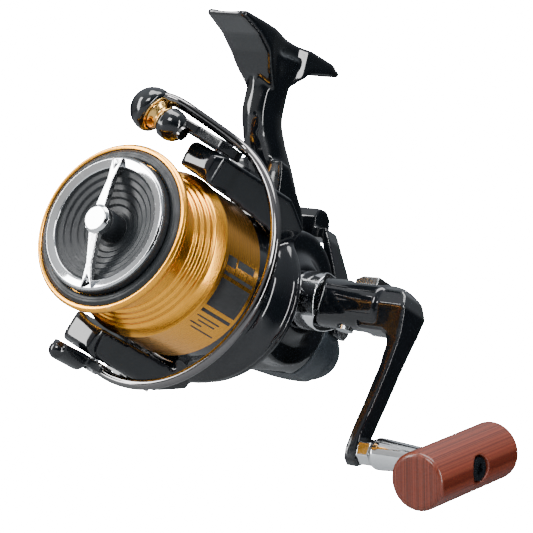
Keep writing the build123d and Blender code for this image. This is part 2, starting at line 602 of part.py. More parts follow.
def bail_wire():
    """Wire with the round cap that holds the outer side of the line roller."""
    tuck_turn = -34.2
    tuck_r = 34.0
    tuck_centre = ((BAIL_R - tuck_r) * cos(radians(tuck_turn)), (BAIL_R - tuck_r) * sin(radians(tuck_turn)))
    high = 75.0
    wire = wire_stretch((0, 0), BAIL_R, tuck_turn, high)
    wire += wire_stretch(tuck_centre, tuck_r, -96.0, tuck_turn)
    start = Vector(BAIL_R * cos(radians(high)), BAIL_Y, BAIL_R * sin(radians(high)))
    heading = Vector(-sin(radians(high)), 0, cos(radians(high)))
    for end in ((4.0, 21.6, 41.7), (-4.2, 13.0, 42.6), (-10.0, 8.6, 43.3), (-15.6, 6.8, 42.3)):
        bend = TangentArc(start, end, tangent=heading)
        wire += sweep(Plane(origin=start, z_dir=heading) * Circle(WIRE_R), path=bend)
        start = bend @ 1
        heading = bend % 1
    cap = rounded_end(7.0, -4.4, -11.3, -2.2)
    return wire + cap - along_roller(1.25, -7.0, 0) - bail_cam() - bail_arm()


def bail_arm():
    """Plate on arm A that carries the inner side of the line roller."""
    low = ARM_FACE + BAIL_GAP
    outline = [(6.4, BAIL_Y), (4.8, 29.8), (0, 31.6), (-4.8, 29.8), (-6.4, BAIL_Y), (-10.4, 9.6), (-4.0, 7.0),
               (1.6, 9.2), (5.8, 17.0)]
    arm = plate_xy(outline, (low, low + BAIL_PLATE))
    arm -= along_roller(9.0, -12.0, 4.0)
    arm -= cylinder("Z", PIVOT_HEAD_R, low + PIVOT_SEAT, 50, (0, BAIL_Y))
    arm += rounded_end(5.0, 4.4, 2.2, 9.3)
    arm -= along_roller(1.25, 0, 12)
    arm -= along_roller(2.3, 8.6, 12)
    return arm - cylinder("Z", PIVOT_R + RUN_GAP, 20, 50, (0, BAIL_Y))


def bail_cam():
    """Holder on arm B, with a long rounded nose."""
    low = ARM_FACE + BAIL_GAP
    plate = cylinder("Z", 6.4, low, low + PIVOT_SEAT, (0, BAIL_Y))
    plate += plate_xy([(-2.8, BAIL_Y), (2.8, BAIL_Y), (2.8, 7.5), (-2.8, 7.5)], (low, low + PIVOT_SEAT))
    plate += rod((0, 18.4, low + 2.8), (0, 8.2, low + 2.8), 2.8) + ball((0, 18.4, low + 2.8), 2.8)
    plate += ball((0, 8.2, low + 2.8), 2.8)
    plate -= cylinder("Z", PIVOT_R + RUN_GAP, 20, 50, (0, BAIL_Y))
    plate -= cylinder("Z", PIVOT_HEAD_R, low + PIVOT_SEAT, 50, (0, BAIL_Y))
    return Location((0, 0, 0), (0, 180, 0)) * plate


def roller_screw():
    shaft = along_roller(1.25, -7.0, 9.0) + along_roller(2.2, 8.7, 9.8)
    return shaft


def line_roller():
    return turned_on_roller([(2.2, -1.9), (4.7, -1.9), (4.8, -1.5), (3.6, -0.2), (3.6, 0.6), (4.3, 1.7),
                             (4.3, 1.9), (2.2, 1.9)])


def roller_bearing():
    return along_roller(2.2, -1.8, 1.8) - along_roller(1.25 + RUN_GAP, -3, 3)


# ---- spool and drag ----
def spool():
    """Shallow spool: lip, fine-ribbed arbor, stepped rear flange and a long skirt."""
    body = turned([(24.6, -0.4), (25.9, -0.4), (LIP_R, 0.2), (LIP_R, 1.6), (25.2, 3.6), (ARBOR_R, 5.0),
                   (ARBOR_R, 13.6), (22.6, 14.4), (22.6, 15.8), (23.9, 16.6), (23.9, 18.0), (25.6, 18.8),
                   (26.8, 20.0), (26.8, 21.4), (SKIRT_R, 22.4), (SKIRT_R, SKIRT_END), (25.1, SKIRT_END),
                   (25.1, 24.5), (19.5, 21.0), (8.0, 21.0), (6.0, 21.0), (6.0, 17.0), (3.7, 17.0),
                   (3.7, 14.6), (14.0, 14.6), (14.0, 8.0), (15.6, 8.0), (15.6, 14.0), (19.5, 14.0),
                   (19.5, 2.8), (24.6, 2.8)])
    for index in range(12):
        hole = cylinder("Y", 1.6, 12, 24, (17.5, 0))
        body -= Location((0, 0, 0), (0, 30 * index, 0)) * hole
    return body - cylinder("X", 0.6, 20, 30, (27.0, -4.0))


def line_clip():
    clip = block((24.9, 27.4), (30.4, 35.6), (-1.4, 1.4)) & cylinder("Y", 27.0, 29, 37)
    return Location((0, 0, 0), (0, 200, 0)) * (clip - cylinder("Y", SKIRT_R, 29, 37))


def spool_front_ring():
    return turned([(21.7, -0.6), (22.2, -1.0), (23.8, -1.0), (24.6, -0.4), (24.6, 2.8), (21.7, 2.8)])


def drag_washers(starts, outer, thickness):
    return group([tube("Y", outer, 3.8, y, y + thickness) for y in starts])


def retaining_clip():
    ring = turned([(13.0, 8.3), (14.0, 8.3), (14.0, 9.0), (13.0, 9.0)])
    return ring - block((-3, 3), (8, 10), (10, 16))


def drag_knob():
    knob = turned([(0, -5.2), (4.4, -5.2), (4.4, 1.2), (17.4, 1.2), (17.4, -3.4), (19.2, -3.4),
                   (21.3, -3.4), (21.3, 2.2), (19.2, 2.5), (11.0, 2.5), (11.0, 7.6), (0, 7.6)])
    for radius in (7.0, 9.5, 12.0, 14.5):
        knob -= tube("Y", radius + 0.5, radius - 0.5, 0.8, 2.0)
    knob -= cylinder("Y", SHAFT_R + RUN_GAP, -4.6, 9)
    return knob - bar_solid()


def bar_solid():
    """Bowed finger bar across the drag knob, with forked ends."""
    outline = [(-20.4, -3.5), (-20.4, -4.7), (-16.0, -5.4), (-4.0, -7.4), (4.0, -7.4), (16.0, -5.4),
               (20.4, -4.7), (20.4, -3.5), (15.0, -3.6), (4.0, -5.2), (-4.0, -5.2), (-15.0, -3.6)]
    bar = plate_yz([(y, z) for z, y in outline], (-1.9, 1.9))
    narrow = plate_xz([(-2.0, -21), (0, -16.5), (2.0, -21), (1.0, -13), (1.7, -4), (1.7, 4), (1.0, 13), (2.0, 21),
                       (0, 16.5), (-2.0, 21), (-1.0, 13), (-1.7, 4), (-1.7, -4), (-1.0, -13)], (-10, 0))
    return Location((0, 0, 0), (0, -3, 0)) * (bar & narrow)


def drag_knob_bar():
    return bar_solid() + turned([(0, -8.2), (3.6, -8.2), (4.4, -7.4), (4.4, -5.2), (0, -5.2)])


def drag_knob_ring():
    return tube("Y", 21.3, 19.2, -4.2, -3.4) - bar_solid()


def all_nodes():
    rotor_own = {
        "bail_arm": bail_arm(),
        "bail_wire": bail_wire(),
        "bail_cam": bail_cam(),
        "roller_screw": roller_screw(),
        "line_roller": line_roller(),
        "roller_bearing": roller_bearing(),
    }
    nodes = {name: ROTOR_AT * shape for name, shape in rotor_own.items()}
    nodes.update({
        "body_frame": body_frame(),
        "body_cover": body_cover(),
        "rear_housing": rear_housing(),
        "rear_cover": rear_cover(),
        "cover_screws": cover_screws(),
        "handle_side_cap": handle_side_cap(),
        "drive_bearings": group([tube("X", 7.5, 3.8 + RUN_GAP, x, x + 3.8, HANDLE) for x in (-13.4, 13.6)]),
        "pinion_bearing": tube("Y", 7.0, 3.0 + RUN_GAP, 50.8, 54.8),
        "clutch_housing": tube("Y", 11.5, 7.8, 43.4, 50.4),
        "clutch_rollers": clutch_rollers(),
        "clutch_retainer": tube("Y", 16.4, 5.6, 40.9, 42.0) - retainer_screws(),
        "retainer_screws": retainer_screws(),
        "guide_rod": cylinder("Y", 1.2, 64.0, BUSH_WALL[1] - 0.6, (0, GUIDE_Z)),
        "rear_shaft_bush": tube("Y", 4.0, SHAFT_R + RUN_GAP, BUSH_WALL[0] + 0.1, BUSH_WALL[1] - 0.1),
        "tension_washers": group([tube("Y", 8.2, 2.8, y, y + 0.8) for y in (105.2, 106.4, 107.6)]),
        "tension_spring": coil_spring((0, 109.2, 0), (0, 1, 0), 5.4, 0.5, 3.4, 2),
        "lever_pins": lever_pins(),
        "free_spool_lever": free_spool_lever(),
        "tension_knob": tension_knob(),
        "drive_gear": drive_gear(),
        "handle_shaft": handle_shaft(),
        "handle_collar": handle_collar(),
        "crank_arm": crank_arm(),
        "fold_pin": fold_pin(),
        "fold_latch": fold_latch(),
        "latch_spring": coil_spring((43.6, HANDLE_Y, LATCH_Z - 1.5), (1, 0, 0), 1.0, 0.22, 3.2, 5),
        "knob_post": knob_post(),
        "knob_sleeve": knob_sleeve(),
        "knob": knob(),
        "knob_bearings": group([tube("X", 3.2, SHAFT_R + RUN_GAP, x, x + 4, KNOB_AT) for x in (79.6, 88.6)]),
        "knob_screw": knob_screw(),
        "osc_gear": osc_gear(),
        "main_shaft": main_shaft(),
        "slider": slider(),
        "spool_seat": spool_seat(),
        "shaft_pin": cylinder("Z", 0.8, -5.5, 5.5, (0, 23.3)),
        "rotor": rotor(),
        "arm_covers": group([arm_cover(1), arm_cover(-1)]),
        "pinion": pinion(),
        "clutch_inner": tube("Y", 5.0, 3.0, 43.0, 50.4),
        "rotor_nut": rotor_nut(),
        "bail_spring": bail_spring(),
        "trip_lever": trip_lever(),
        "bail_pivot_screws": bail_pivot_screws(),
        "spool": spool(),
        "line_clip": line_clip(),
        "spool_front_ring": spool_front_ring(),
        "drag_washers_metal": drag_washers((9.4, 11.4, 13.4), 13.4, 0.8),
        "drag_washers_felt": drag_washers((10.3, 12.3), 13.4, 1.0),
        "retaining_clip": retaining_clip(),
        "spool_bearing": tube("Y", 6.0, 3.5 + RUN_GAP, 17.0, 20.8),
        "drag_knob": drag_knob(),
        "drag_knob_bar": drag_knob_bar(),
        "drag_knob_ring": drag_knob_ring(),
    })
    return nodes


os.makedirs("parts", exist_ok=True)
for node, shape in all_nodes().items():
    export_step(TO_OWN_FRAME * shape, f"parts/{node}.step")
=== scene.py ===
"""Looks of the spinning reel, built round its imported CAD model.

Pieces are drawn in millimetres in one of the reel's own frames and placed with its matrix:
SHAFT has its origin at the spool's lip, +Y to the rear along the shaft, +X to the handle, +Z to the foot;
ROTOR is the same frame turned so that +Z points along the arm that carries the line roller;
ROLLER has its origin in the middle of the line roller, with +Y along the roller's axis.
"""
import json
import math

import bmesh
import bpy
from mathutils import Matrix, Vector


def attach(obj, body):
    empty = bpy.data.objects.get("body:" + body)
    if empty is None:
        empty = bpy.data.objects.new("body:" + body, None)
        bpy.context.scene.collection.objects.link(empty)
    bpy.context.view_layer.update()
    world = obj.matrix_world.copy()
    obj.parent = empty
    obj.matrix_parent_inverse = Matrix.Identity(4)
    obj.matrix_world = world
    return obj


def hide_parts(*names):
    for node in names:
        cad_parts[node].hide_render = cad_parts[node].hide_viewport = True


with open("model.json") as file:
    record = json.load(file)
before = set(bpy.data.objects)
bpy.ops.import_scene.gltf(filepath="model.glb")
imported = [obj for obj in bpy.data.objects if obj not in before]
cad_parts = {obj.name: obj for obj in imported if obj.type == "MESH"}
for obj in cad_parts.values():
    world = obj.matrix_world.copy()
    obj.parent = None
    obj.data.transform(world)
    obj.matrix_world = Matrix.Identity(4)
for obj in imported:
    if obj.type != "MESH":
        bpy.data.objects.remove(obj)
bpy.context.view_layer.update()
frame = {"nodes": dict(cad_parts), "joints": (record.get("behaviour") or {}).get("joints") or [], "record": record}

MM = 0.001
JOINTS = {joint["name"]: joint for joint in frame["joints"]}
SHAFT_JOINT = JOINTS["drag_knob_turn"]
SHAFT_AXIS = SHAFT_JOINT["axis"]
HANDLE_AXIS = (1, 0, 0)
BAIL_R = 42.0      # middle of the bail wire, from the shaft
BAIL_Y = 25.0      # plane of the bail wire
WIRE_R = 1.6
SKIRT_R = 26.1     # outside of the spool's skirt
SKIRT_PRINT_Y = 25.4   # front edge of the marks on the skirt
WOOD_LEAN = math.radians(26.3)   # the knob's own axis, from +Y towards +Z


# ---- frames ----
def frame_matrix(origin, across, along, up):
    """Matrix that takes millimetres in a frame to the reel's metres."""
    axes = [Vector(axis) * MM for axis in (across, along, up)]
    matrix = Matrix(axes).transposed().to_4x4()
    matrix.translation = Vector(origin)
    return matrix


def shaft_frame():
    """Frame of the shaft, with +X to the handle."""
    along = Vector(SHAFT_AXIS)
    across = Vector(HANDLE_AXIS)
    return frame_matrix(SHAFT_JOINT["pos_m"], across, along, across.cross(along))


def rotor_frame():
    """Frame of the shaft, with +Z along the arm of the line roller."""
    along = Vector(SHAFT_AXIS)
    up = -Vector(JOINTS["bail_swing"]["axis"])
    return frame_matrix(SHAFT_JOINT["pos_m"], along.cross(up), along, up)


def roller_frame():
    """Frame whose +Y is the line roller's axis."""
    joint = JOINTS["line_roller_spin"]
    along = Vector(joint["axis"]).normalized()
    side = along.orthogonal().normalized()
    return frame_matrix(joint["pos_m"], side, along, side.cross(along))


SHAFT = shaft_frame()
ROTOR = rotor_frame()
ROLLER = roller_frame()


# ---- shader nodes ----
def add_node(tree, kind, values=None, **settings):
    """Adds a node; a value is either a number for its input or a socket to link to it."""
    node = tree.nodes.new(kind)
    for key, value in settings.items():
        setattr(node, key, value)
    for key, value in (values or {}).items():
        if isinstance(value, bpy.types.NodeSocket):
            tree.links.new(value, node.inputs[key])
        else:
            node.inputs[key].default_value = value
    return node


# ---- camera and light ----
TARGET = Vector((0.03863, -0.03117, -0.07969))
AZIMUTH = math.radians(35.665)
ELEVATION = math.radians(-10.007)
ROLL = math.radians(13.70)
DISTANCE = 0.93868
LENS = 214.25
SENSOR = 36.0
FLOOR_Z = -0.36
FLOOR_HALF = 1.5
WHITE = 40.0                                # strength of the white that the camera sees
GLOW_FROM = Vector((-0.55, -0.80, 0.22))    # side that a broad soft glow comes from


def make_camera():
    """Camera that looks up at the reel from the front, on the handle's side."""
    camera = bpy.data.objects.new("camera", bpy.data.cameras.new("camera"))
    camera.data.lens = LENS
    camera.data.sensor_width = SENSOR
    camera.data.clip_start = 0.05
    flat = math.cos(ELEVATION)
    back = Vector((math.sin(AZIMUTH) * flat, -math.cos(AZIMUTH) * flat, math.sin(ELEVATION)))
    level = Vector((0, 0, 1)).cross(back).normalized()
    right = level * math.cos(ROLL) + back.cross(level) * math.sin(ROLL)
    matrix = Matrix((right, back.cross(right), back)).transposed().to_4x4()
    matrix.translation = TARGET + back * DISTANCE
    camera.matrix_world = matrix
    bpy.context.scene.collection.objects.link(camera)
    bpy.context.scene.camera = camera


def softbox(name, place, size, power):
    """Rectangular light that faces the reel."""
    lamp = bpy.data.lights.new(name, "AREA")
    lamp.shape = "RECTANGLE"
    lamp.size, lamp.size_y = size
    lamp.energy = power
    holder = bpy.data.objects.new(name, lamp)
    holder.location = place
    holder.rotation_euler = (TARGET - Vector(place)).to_track_quat("-Z", "Y").to_euler()
    bpy.context.scene.collection.objects.link(holder)


def make_lights():
    """Soft light from above and the front, and two narrow strips for the edges."""
    softbox("top_box", (0.1, -0.2, 0.9), (0.9, 0.5), 16)
    softbox("left_strip", (-0.65, -0.75, 0.10), (0.22, 0.9), 12)
    softbox("right_strip", (1.0, -0.1, 0.05), (0.12, 0.9), 8)
    softbox("front_box", (0.30, -1.1, 0.45), (0.5, 0.35), 12)


def make_floor():
    """Pale studio floor, well below the knob."""
    signs = ((-1, -1), (1, -1), (1, 1), (-1, 1))
    corners = [(x * FLOOR_HALF, y * FLOOR_HALF, FLOOR_Z) for x, y in signs]
    mesh = mesh_from("floor", corners, [(0, 1, 2, 3)], Matrix.Identity(4))
    floor = bpy.data.objects.new("floor", mesh)
    mesh.materials.append(MATERIALS["floor"])
    bpy.context.scene.collection.objects.link(floor)


def sky_bands(tree, direction):
    """Colour by height: pale below and above, dark around the horizon."""
    height = add_node(tree, "ShaderNodeSeparateXYZ", {0: direction}).outputs["Z"]
    place = add_node(tree, "ShaderNodeMapRange", {"Value": height, "From Min": -1.0, "From Max": 1.0})
    ramp = add_node(tree, "ShaderNodeValToRGB", {0: place.outputs[0]})
    bands = ramp.color_ramp.elements
    bands[0].position = 0.0
    bands[0].color = (0.55, 0.58, 0.62, 1)
    bands[1].position = 1.0
    bands[1].color = (0.75, 0.8, 0.86, 1)
    for position, value in ((0.32, 0.30), (0.46, 0.03), (0.60, 0.02), (0.72, 0.25)):
        bands.new(position).color = (value * 0.94, value, value * 1.06, 1)
    return ramp.outputs[0]


def side_glow(tree, direction):
    """Broad soft brightness towards one side."""
    facing = add_node(tree, "ShaderNodeVectorMath", {0: direction, 1: GLOW_FROM.normalized()},
                      operation="DOT_PRODUCT").outputs["Value"]
    return add_node(tree, "ShaderNodeMapRange",
                    {"Value": facing, "From Min": 0.35, "From Max": 0.95, "To Max": 0.6},
                    interpolation_type="SMOOTHSTEP").outputs[0]


def make_world():
    """White behind the reel, and a studio of light and dark bands for its reflections."""
    world = bpy.data.worlds.new("studio")
    bpy.context.scene.world = world
    world.use_nodes = True
    tree = world.node_tree
    tree.nodes.clear()
    direction = add_node(tree, "ShaderNodeTexCoord").outputs["Generated"]
    studio = add_node(tree, "ShaderNodeMix", data_type="RGBA", blend_type="ADD")
    studio.inputs[0].default_value = 1.0
    tree.links.new(sky_bands(tree, direction), studio.inputs[6])
    tree.links.new(side_glow(tree, direction), studio.inputs[7])
    around = add_node(tree, "ShaderNodeBackground", {"Color": studio.outputs[2]}).outputs[0]
    seen = add_node(tree, "ShaderNodeBackground", {"Color": (1, 1, 1, 1), "Strength": WHITE}).outputs[0]
    from_camera = add_node(tree, "ShaderNodeLightPath").outputs["Is Camera Ray"]
    mix = add_node(tree, "ShaderNodeMixShader", {0: from_camera, 1: around, 2: seen}).outputs[0]
    add_node(tree, "ShaderNodeOutputWorld", {0: mix})


# ---- materials ----
def scaled(colour, factor):
    return tuple(min(1.0, factor * channel) for channel in colour)


class Finish:
    """A Principled material that is put together node by node."""

    def __init__(self, name, colour, roughness, metallic=0.0, coat=0.0):
        self.material = bpy.data.materials.new(name)
        self.material.use_nodes = True
        self.tree = self.material.node_tree
        self.shader = self.tree.nodes["Principled BSDF"]
        constants = {
            "Base Color": (*colour, 1), "Roughness": roughness, "Metallic": metallic, "Coat Weight": coat,
            "Coat Roughness": 0.04, "Specular IOR Level": 0.35}
        for socket, value in constants.items():
            self.shader.inputs[socket].default_value = value
        self.place = self.add("ShaderNodeTexCoord").outputs["Object"]

    def add(self, kind, values=None, **settings):
        return add_node(self.tree, kind, values, **settings)

    def set(self, socket, value):
        self.tree.links.new(value, self.shader.inputs[socket])

    def noise(self, scale):
        """Cloudy value from 0 to 1; a larger scale makes smaller clouds."""
        values = {"Vector": self.place, "Scale": scale, "Detail": 3.0}
        return self.add("ShaderNodeTexNoise", values).outputs[0]

    def spread(self, value, low, high, start=0.0, end=1.0):
        """Maps a value from start..end to low..high."""
        values = {"Value": value, "From Min": start, "From Max": end, "To Min": low, "To Max": high}
        return self.add("ShaderNodeMapRange", values).outputs[0]

    def blend(self, factor, first, second):
        """Colour between first and second."""
        first, second = ((*c, 1) if isinstance(c, tuple) else c for c in (first, second))
        return self.add("ShaderNodeMix", {0: factor, 6: first, 7: second}, data_type="RGBA").outputs[2]

    def along(self, axis):
        """Distance along an axis through the reel's origin."""
        values = {0: self.place, 1: tuple(axis)}
        return self.add("ShaderNodeVectorMath", values, operation="DOT_PRODUCT").outputs["Value"]

    def bump(self, height, strength, distance):
        values = {"Height": height, "Strength": strength, "Distance": distance}
        return self.add("ShaderNodeBump", values).outputs[0]

    def worn_edges(self, colour, worn, start, end):
        """Lighter colour on sharp outer edges."""
        sharp = self.add("ShaderNodeNewGeometry").outputs["Pointiness"]
        return self.blend(self.spread(sharp, 0.0, 0.5, start, end), colour, worn)


def moulded(name, colour, roughness, worn, coat=0.0, grain=900.0, depth=0.00002):
    """Moulded or lacquered plastic: cloudy colour, uneven gloss, fine grain and paler edges."""
    finish = Finish(name, colour, roughness, coat=coat)
    shade_of = finish.blend(finish.noise(60.0), scaled(colour, 0.75), scaled(colour, 1.3))
    finish.set("Base Color", finish.worn_edges(shade_of, worn, 0.53, 0.62))
    gloss = finish.spread(finish.noise(220.0), 0.75 * roughness, 1.3 * roughness, 0.3, 0.7)
    finish.set("Roughness", gloss)
    finish.set("Normal", finish.bump(finish.noise(grain), 0.25, depth))
    return finish.material


def metal(name, colour, roughness, worn, lines=None):
    """Plated or machined metal; lines is the axis that tool marks run round."""
    finish = Finish(name, colour, roughness, metallic=1.0)
    shade_of = finish.blend(finish.noise(90.0), scaled(colour, 0.88), scaled(colour, 1.08))
    finish.set("Base Color", finish.worn_edges(shade_of, worn, 0.55, 0.68))
    if lines is None:
        height = finish.noise(1500.0)
    else:
        values = {"W": finish.along(lines), "Scale": 9000.0, "Detail": 2.0}
        height = finish.add("ShaderNodeTexNoise", values, noise_dimensions="1D").outputs[0]
    finish.set("Roughness", finish.spread(height, 0.7 * roughness, 1.4 * roughness, 0.3, 0.7))
    finish.set("Normal", finish.bump(height, 0.3, 0.00001))
    return finish.material


def laminated_wood():
    """Lacquered wood pressed from thin dyed layers: fine dark and red streaks along the bar."""
    finish = Finish("laminated_wood", (0.25, 0.05, 0.03), 0.3, coat=0.25)
    bar = Vector((0, math.cos(WOOD_LEAN), math.sin(WOOD_LEAN)))
    across = Vector((0, -bar.z, bar.y))
    stretches = ((HANDLE_AXIS, 1.0), (bar, 0.12), (across, 1.0))
    parts = {index: finish.spread(finish.along(axis), 0, stretch)
             for index, (axis, stretch) in enumerate(stretches)}
    squeezed = finish.add("ShaderNodeCombineXYZ", parts).outputs[0]
    grain = finish.add("ShaderNodeTexNoise", {
        "Vector": squeezed, "Scale": 800.0, "Detail": 8.0, "Roughness": 0.65}).outputs[0]
    layers = finish.add("ShaderNodeTexNoise", {
        "Vector": squeezed, "Scale": 2600.0, "Detail": 3.0}).outputs[0]
    streak = finish.spread(layers, 0.0, 1.0, 0.42, 0.62)
    base = finish.blend(
        finish.spread(grain, 0.0, 1.0, 0.36, 0.66), (0.018, 0.003, 0.002), (0.15, 0.020, 0.009))
    finish.set("Base Color", finish.blend(finish.spread(streak, 0.0, 0.55), base, (0.24, 0.06, 0.028)))
    finish.set("Roughness", finish.spread(grain, 0.22, 0.42, 0.3, 0.7))
    finish.set("Normal", finish.bump(layers, 0.25, 0.00003))
    return finish.material


def ribbed_arbor():
    """Polished gold with fine ribs round the shaft."""
    finish = Finish("ribbed_arbor", (0.93, 0.55, 0.16), 0.2, metallic=1.0)
    turns = finish.add("ShaderNodeMath", {0: finish.along(SHAFT_AXIS), 1: 11000.0}, operation="MULTIPLY")
    wave = finish.add("ShaderNodeMath", {0: turns.outputs[0]}, operation="SINE")
    cloud = finish.noise(90.0)
    finish.set("Base Color", finish.blend(cloud, (0.90, 0.42, 0.07), (1.0, 0.54, 0.12)))
    finish.set("Roughness", finish.spread(cloud, 0.14, 0.26, 0.3, 0.7))
    finish.set("Normal", finish.bump(wave.outputs[0], 0.5, 0.00006))
    return finish.material


MATERIALS = {
    "gloss": moulded("gloss_black", (0.0035, 0.0045, 0.006), 0.09, (0.012, 0.014, 0.017), coat=0.45),
    "satin": moulded("satin_black", (0.021, 0.027, 0.033), 0.36, (0.07, 0.08, 0.09), grain=2600.0,
                     depth=0.00003),
    "matte": moulded("matte_black", (0.010, 0.012, 0.014), 0.42, (0.05, 0.05, 0.05), grain=2600.0),
    "nylon": moulded("nylon", (0.03, 0.03, 0.032), 0.5, (0.09, 0.09, 0.09)),
    "felt": moulded("felt", (0.20, 0.17, 0.13), 0.95, (0.3, 0.26, 0.2), grain=4000.0, depth=0.0001),
    "gold_bright": metal("gold_bright", (1.0, 0.43, 0.045), 0.24, (1.0, 0.75, 0.35), lines=SHAFT_AXIS),
    "gold_satin": metal("gold_satin", (0.88, 0.37, 0.07), 0.38, (0.95, 0.6, 0.25), lines=SHAFT_AXIS),
    "gold_roller": metal("gold_roller", (0.80, 0.50, 0.16), 0.18, (1.0, 0.8, 0.45)),
    "arbor": ribbed_arbor(),
    "dark_chrome": metal("dark_chrome", (0.16, 0.155, 0.155), 0.07, (0.6, 0.6, 0.6)),
    "chrome": metal("chrome", (0.72, 0.73, 0.74), 0.06, (0.95, 0.95, 0.95)),
    "silver": metal("silver", (0.56, 0.58, 0.59), 0.20, (0.8, 0.82, 0.84), lines=HANDLE_AXIS),
    "steel": metal("steel", (0.48, 0.49, 0.50), 0.28, (0.7, 0.7, 0.7)),
    "brass": metal("brass", (0.75, 0.55, 0.22), 0.25, (0.95, 0.8, 0.45)),
    "zinc": metal("zinc", (0.42, 0.42, 0.44), 0.45, (0.6, 0.6, 0.62)),
    "wood": laminated_wood(),
    "floor": moulded("floor", (0.34, 0.35, 0.36), 0.8, (0.4, 0.4, 0.4), grain=40.0),
}
# Slots whose material has another name, and nodes in the knob's hole that are given black finishes as painted
# shade for the hole's depth, darker than their slots.
SLOT_FINISH = {"gloss_black": "gloss", "satin_black": "satin", "gold": "gold_bright"}
PAINTED_HOLE_SHADE = {"knob_screw": "gloss", "knob_bearings": "matte"}
RECORD = frame["record"]
NODE_SLOT = {row["node"]: row["material_slot"] for row in RECORD["subparts"]}
NODE_BODY = {node: body for body, nodes in RECORD["behaviour"]["bodies"].items() for node in nodes}


def finish_of(node):
    """Key of the material that a CAD node's slot stands for."""
    slot = NODE_SLOT[node]
    return SLOT_FINISH.get(slot, slot)


def finish_cad_nodes():
    """Gives every CAD node the material of its slot."""
    for name, node in frame["nodes"].items():
        node.data.materials.clear()
        # The screw and bearings in the knob's hole get black finishes as painted shade.
        node.data.materials.append(MATERIALS[PAINTED_HOLE_SHADE.get(name, finish_of(name))])


# ---- mesh helpers ----
def shade(mesh, angle):
    """Smooth shading, with edges sharper than the angle left sharp."""
    for polygon in mesh.polygons:
        polygon.use_smooth = True
    mesh.set_sharp_from_angle(angle=math.radians(angle))


def add_piece(name, mesh, materials, body, nodes=()):
    """Puts a finished mesh in the scene, riding on its body and standing for CAD nodes."""
    piece = bpy.data.objects.new(name, mesh)
    bpy.context.scene.collection.objects.link(piece)
    mesh.materials.clear()
    for key in materials:
        mesh.materials.append(MATERIALS[key])
    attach(piece, body)
    if nodes:
        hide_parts(*nodes)
    return piece


def mesh_from(name, points, faces, place, material_of=None):
    """Clean mesh from points in a frame's millimetres."""
    mesh = bpy.data.meshes.new(name)
    mesh.from_pydata([tuple(place @ Vector(point)) for point in points], [], faces)
    if material_of:
        for polygon, index in zip(mesh.polygons, material_of):
            polygon.material_index = index
    work = bmesh.new()
    work.from_mesh(mesh)
    bmesh.ops.remove_doubles(work, verts=work.verts, dist=2e-6)
    bmesh.ops.recalc_face_normals(work, faces=work.faces)
    work.to_mesh(mesh)
    work.free()
    return mesh


def softened(outline, radius, steps=3):
    """Closed outline of (r, y, material) with each corner off the axis replaced by a small curve."""
    points = []
    count = len(outline)
    for index, corner in enumerate(outline):
        corner = Vector(corner[:2])
        before = Vector(outline[index - 1][:2]) - corner
        after = Vector(outline[(index + 1) % count][:2]) - corner
        tag = outline[index][2] if len(outline[index]) > 2 else 0
        if corner.x < 1e-6:
            points.append((corner.x, corner.y, tag))
            continue
        reach = min(radius, 0.45 * before.length, 0.45 * after.length)
        start = corner + before.normalized() * reach
        end = corner + after.normalized() * reach
        for step in range(steps + 1):
            t = step / steps
            spot = start * (1 - t) ** 2 + corner * 2 * t * (1 - t) + end * t ** 2
            points.append((spot.x, spot.y, tag))
    return points


def lathe(name, outline, place, segments=192, radius=0.25, sharp=50):
    """Turned mesh about +Y from a closed (r, y) outline; a third value is the next run's material."""
    loop = softened(outline, radius)
    count = len(loop)
    points = []
    faces = []
    tags = []
    for step in range(segments):
        angle = 2 * math.pi * step / segments
        points += [(r * math.sin(angle), y, r * math.cos(angle)) for r, y, tag in loop]
    for step in range(segments):
        here, there = step * count, ((step + 1) % segments) * count
        for index in range(count):
            following = (index + 1) % count
            faces.append((here + index, here + following, there + following, there + index))
            tags.append(loop[index][2])
    mesh = mesh_from(name, points, faces, place, tags)
    work = bmesh.new()
    work.from_mesh(mesh)
    bmesh.ops.dissolve_degenerate(work, edges=work.edges, dist=1e-7)
    work.to_mesh(mesh)
    work.free()
    shade(mesh, sharp)
    return mesh


def cast(name, source, voxel, rounds, material=None, extra=()):
    """Softer copy of a CAD node, with the small radii of a casting and any extra meshes grown into it."""
    work = bmesh.new()
    for part in (frame["nodes"][source].data, *extra):
        work.from_mesh(part)
    mesh = bpy.data.meshes.new(name)
    work.to_mesh(mesh)
    work.free()
    key = material or finish_of(source)
    piece = add_piece(name, mesh, [key], NODE_BODY[source], [source])
    remesh = piece.modifiers.new("remesh", "REMESH")
    remesh.mode = "VOXEL"
    remesh.voxel_size = voxel * MM
    smooth = piece.modifiers.new("smooth", "SMOOTH")
    smooth.factor = 0.5
    smooth.iterations = rounds
    bpy.context.view_layer.update()
    result = bpy.data.meshes.new_from_object(piece.evaluated_get(bpy.context.evaluated_depsgraph_get()))
    piece.modifiers.clear()
    piece.data = result
    for polygon in result.polygons:
        polygon.use_smooth = True


def tube(name, path, place, sides):
    """Closed tube along a list of (point, half width, half depth, up) rings."""
    points = []
    faces = []
    for index, (centre, wide, deep, up) in enumerate(path):
        centre = Vector(centre)
        before = Vector(path[max(index - 1, 0)][0])
        after = Vector(path[min(index + 1, len(path) - 1)][0])
        heading = (after - before).normalized()
        side = heading.cross(Vector(up)).normalized()
        rise = side.cross(heading)
        for step in range(sides):
            angle = 2 * math.pi * step / sides
            points.append(centre + side * wide * math.cos(angle) + rise * deep * math.sin(angle))
    for index in range(len(path) - 1):
        for step in range(sides):
            following = (step + 1) % sides
            here, there = index * sides, (index + 1) * sides
            faces.append((here + step, here + following, there + following, there + step))
    faces.append(tuple(range(sides)))
    faces.append(tuple(reversed(range((len(path) - 1) * sides, len(path) * sides))))
    mesh = mesh_from(name, points, faces, place)
    shade(mesh, 60)
    return mesh


